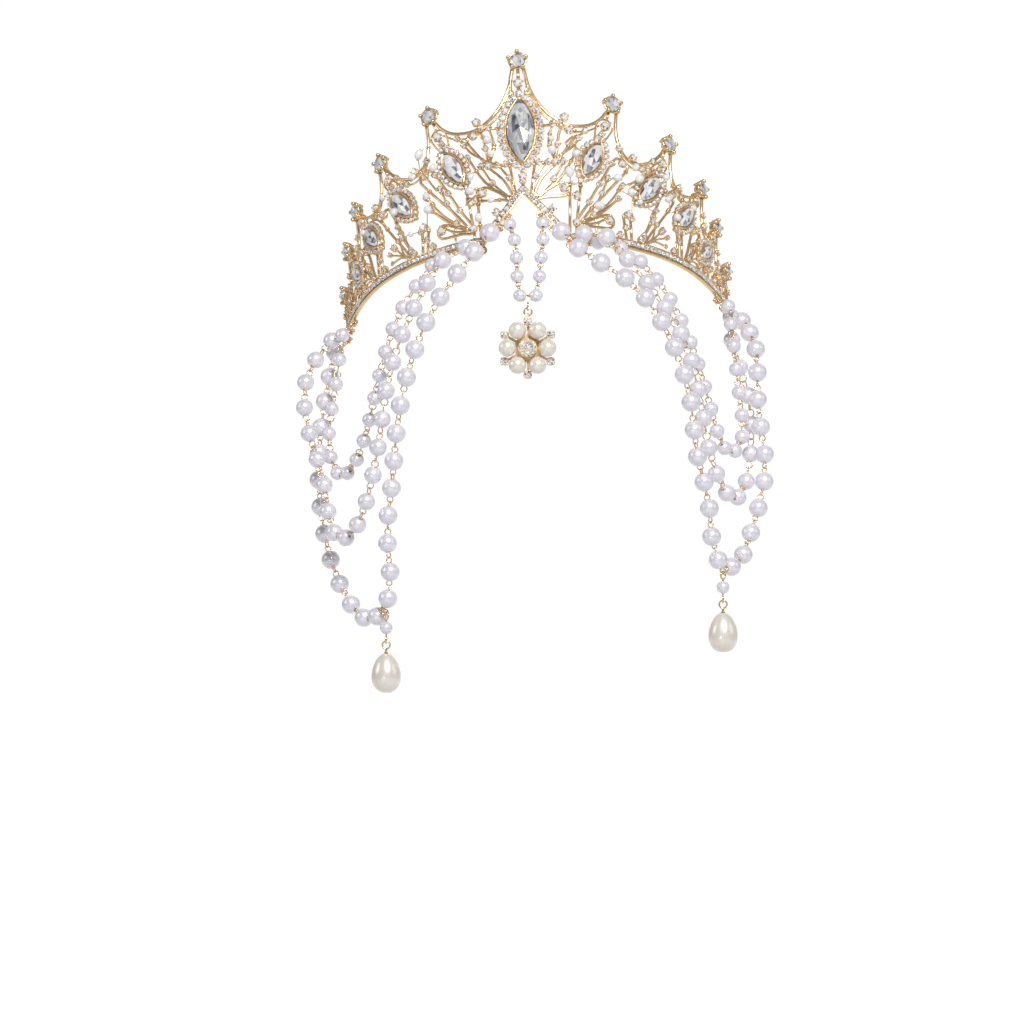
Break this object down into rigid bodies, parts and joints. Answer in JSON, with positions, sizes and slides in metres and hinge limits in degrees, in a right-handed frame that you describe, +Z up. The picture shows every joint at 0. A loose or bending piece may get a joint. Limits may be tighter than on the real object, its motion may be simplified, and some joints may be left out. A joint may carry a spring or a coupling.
{
  "type": "pearl crown",
  "caption": "Openwork gold tiara with cut stones, swags of pearls at both sides, a flower pendant on the forehead and two hanging pearl drops.",
  "frame": {"origin": "centre of the seat on the head: the middle of the circle that the front of the band follows, at the height of its plane before the crown leans back", "axes": "+Z up, the front faces -Y, +X is the side with the shorter strings"},
  "size_m": [0.1882, 0.0967, 0.2483],
  "materials": {
    "gold_metal": "polished light gold plate on cast and soldered alloy",
    "gold_wire": "polished light gold wire",
    "crystal": "clear cut glass with a foiled back",
    "white_pearl": "white pearl lacquer with a faint lavender cast",
    "cream_pearl": "cream pearl lacquer"
  },
  "bodies": {
    "crown": {"tiara_frame": "gold_metal", "accent_stones": "crystal", "tip_stone_1": "crystal", "tip_stone_2": "crystal", "tip_stone_3": "crystal", "tip_stone_4": "crystal", "tip_stone_5": "crystal", "tip_stone_6": "crystal", "tip_stone_7": "crystal", "tip_stone_8": "crystal", "tip_stone_9": "crystal", "tip_stone_10": "crystal", "tip_stone_11": "crystal", "marquise_1": "crystal", "marquise_2": "crystal", "marquise_3": "crystal", "marquise_4": "crystal", "marquise_5": "crystal", "marquise_6": "crystal", "marquise_7": "crystal", "marquise_8": "crystal", "marquise_9": "crystal", "left_outer_pearls": "white_pearl", "left_outer_thread": "gold_wire", "left_middle_pearls": "white_pearl", "left_middle_thread": "gold_wire", "left_inner_pearls": "white_pearl", "left_inner_thread": "gold_wire", "right_outer_pearls": "white_pearl", "right_outer_thread": "gold_wire", "right_middle_pearls": "white_pearl", "right_middle_thread": "gold_wire", "right_inner_pearls": "white_pearl", "right_inner_thread": "gold_wire", "brow_pearls": "white_pearl", "brow_thread": "gold_wire", "brow_link": "gold_wire", "left_hook_ring": "gold_wire", "left_drop_pin": "gold_wire", "left_drop_bead": "white_pearl", "right_hook_ring": "gold_wire", "right_drop_pin": "gold_wire", "right_drop_bead": "white_pearl"},
    "forehead_pendant": {"pendant_ring": "gold_wire", "pendant_setting": "gold_metal", "pendant_stones": "crystal", "pendant_pearl_1": "cream_pearl", "pendant_pearl_2": "cream_pearl", "pendant_pearl_3": "cream_pearl", "pendant_pearl_4": "cream_pearl", "pendant_pearl_5": "cream_pearl", "pendant_pearl_6": "cream_pearl"},
    "left_drop": {"left_drop_peg": "gold_wire", "left_drop_pearl": "cream_pearl"},
    "right_drop": {"right_drop_peg": "gold_wire", "right_drop_pearl": "cream_pearl"}
  },
  "joints": [
    {"name": "forehead_pendant_swing", "type": "hinge", "parent": "crown", "child": "forehead_pendant", "pos_m": [0, -0.0836, -0.0001], "axis": [0, 1, 0], "range_deg": [-45, 45]},
    {"name": "left_drop_swing", "type": "hinge", "parent": "crown", "child": "left_drop", "pos_m": [-0.05526, -0.06026, -0.12586], "axis": [0, 1, 0], "range_deg": [-45, 45]},
    {"name": "right_drop_swing", "type": "hinge", "parent": "crown", "child": "right_drop", "pos_m": [0.07331, -0.05588, -0.11028], "axis": [0, 1, 0], "range_deg": [-45, 45]}
  ]
}
